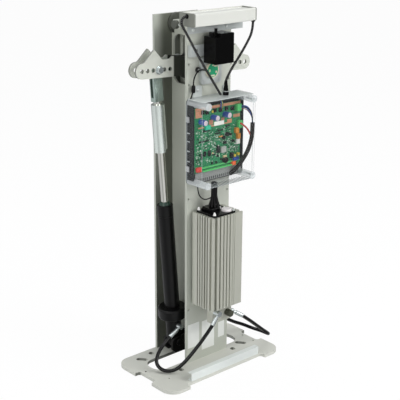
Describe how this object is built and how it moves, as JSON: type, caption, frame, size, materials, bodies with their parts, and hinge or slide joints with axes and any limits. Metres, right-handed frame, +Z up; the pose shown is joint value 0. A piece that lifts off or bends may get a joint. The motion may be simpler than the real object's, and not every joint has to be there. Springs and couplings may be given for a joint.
{
  "type": "boom barrier drive unit",
  "caption": "Bare drive column of a hydraulic road barrier: two rams tilt a rocker on the boom shaft, with power unit, control enclosure and light bar on a recessed base plate",
  "frame": {"origin": "middle of the four anchor holes, on the floor under the base plate", "axes": "+Z up along the column, +X to the right along the base's long side, -Y to the front, where the enclosure and power unit are"},
  "size_m": [0.4961, 0.289, 1.0686],
  "materials": {
    "powder_grey": "satin grey powder coat",
    "rocker_steel": "grey coat with bare laser-cut edges",
    "turned_steel": "turned steel",
    "zinc_plate": "bright zinc plate",
    "chrome_rod": "hard chrome",
    "bright_sleeve": "drawn aluminium sleeve",
    "ram_black": "satin black enamel",
    "seal_rubber": "moulded rubber",
    "tank_aluminium": "anodised extrusion",
    "lid_black": "moulded black",
    "cap_white": "moulded white",
    "bar_white": "white acrylic and coated trough",
    "bar_grey": "moulded grey",
    "board_green": "solder-masked laminate",
    "terminal_green": "moulded green",
    "capacitor_blue": "sleeved cans",
    "chip_black": "moulded epoxy",
    "tray_grey": "moulded grey",
    "clear_plastic": "clear polycarbonate",
    "ring_cream": "moulded cream",
    "knob_olive": "moulded olive",
    "motor_paint": "dark enamel",
    "hose_rubber": "braided hydraulic hose",
    "cable_grey": "flexible sheath"
  },
  "bodies": {
    "frame": {"bar_bracket": "zinc_plate", "bar_end_caps": "bar_grey", "bar_lens": "bar_white", "base_plate": "powder_grey", "board_capacitors": "capacitor_blue", "board_chips": "chip_black", "cable_glands": "lid_black", "clear_cover": "clear_plastic", "control_board": "board_green", "cover_fixings": "tray_grey", "enclosure_tray": "tray_grey", "encoder_disc": "board_green", "encoder_lead": "cable_grey", "encoder_ring": "ring_cream", "filler_cap": "cap_white", "finned_tank": "tank_aluminium", "foot_brackets": "ram_black", "foot_pins": "zinc_plate", "front_bearing": "powder_grey", "front_upright": "powder_grey", "hood_rail": "zinc_plate", "hose_fittings": "zinc_plate", "led_board": "board_green", "left_hose": "hose_rubber", "left_light_cable": "cable_grey", "light_bar": "bar_white", "mains_box": "lid_black", "mains_bracket": "zinc_plate", "pump_block": "tank_aluminium", "pump_motor": "motor_paint", "ram_feet": "ram_black", "ram_glands": "ram_black", "ram_tubes": "ram_black", "ram_wipers": "seal_rubber", "rear_bearing": "powder_grey", "rear_cap": "lid_black", "rear_upright": "powder_grey", "right_hose": "hose_rubber", "right_light_cable": "cable_grey", "small_screws": "zinc_plate", "stop_bar": "powder_grey", "stop_buffers": "seal_rubber", "tank_brackets": "zinc_plate", "tank_lid": "lid_black", "terminal_blocks": "terminal_green", "webs": "powder_grey", "wiring_bundle": "lid_black"},
    "rocker": {"rocker_front_plate": "rocker_steel", "rocker_rear_plate": "rocker_steel", "rocker_hub": "rocker_steel", "main_shaft": "turned_steel", "drive_flange": "turned_steel", "link_bolts": "zinc_plate"},
    "left_ram_rod": {"left_rod": "chrome_rod", "left_rod_shroud": "bright_sleeve", "left_clevis": "zinc_plate"},
    "right_ram_rod": {"right_rod": "chrome_rod", "right_rod_shroud": "bright_sleeve", "right_clevis": "zinc_plate"},
    "valve_knob": {"release_knob": "knob_olive"}
  },
  "joints": [
    {"name": "rocker_turn", "type": "hinge", "parent": "frame", "child": "rocker", "pos_m": [0.0135, 0.0215, 0.9], "axis": [0, 1, 0], "range_deg": [-47.36, 42.64]},
    {"name": "left_rod_slide", "type": "slide", "parent": "frame", "child": "left_ram_rod", "axis": [-0.0794, 0, 0.9968], "range_m": [-0.1016, 0.0915]},
    {"name": "right_rod_slide", "type": "slide", "parent": "frame", "child": "right_ram_rod", "axis": [0.0328, 0, 0.9995], "range_m": [-0.0638, 0.0708]},
    {"name": "valve_turn", "type": "hinge", "parent": "frame", "child": "valve_knob", "pos_m": [0.0335, -0.1285, 0.174], "axis": [0, 1, 0], "range_deg": [0, 180]}
  ],
  "couplings": [
    {"joint": "left_rod_slide", "follows": "rocker_turn", "m_per_rad": 0.1227},
    {"joint": "right_rod_slide", "follows": "rocker_turn", "m_per_rad": -0.0855}
  ]
}
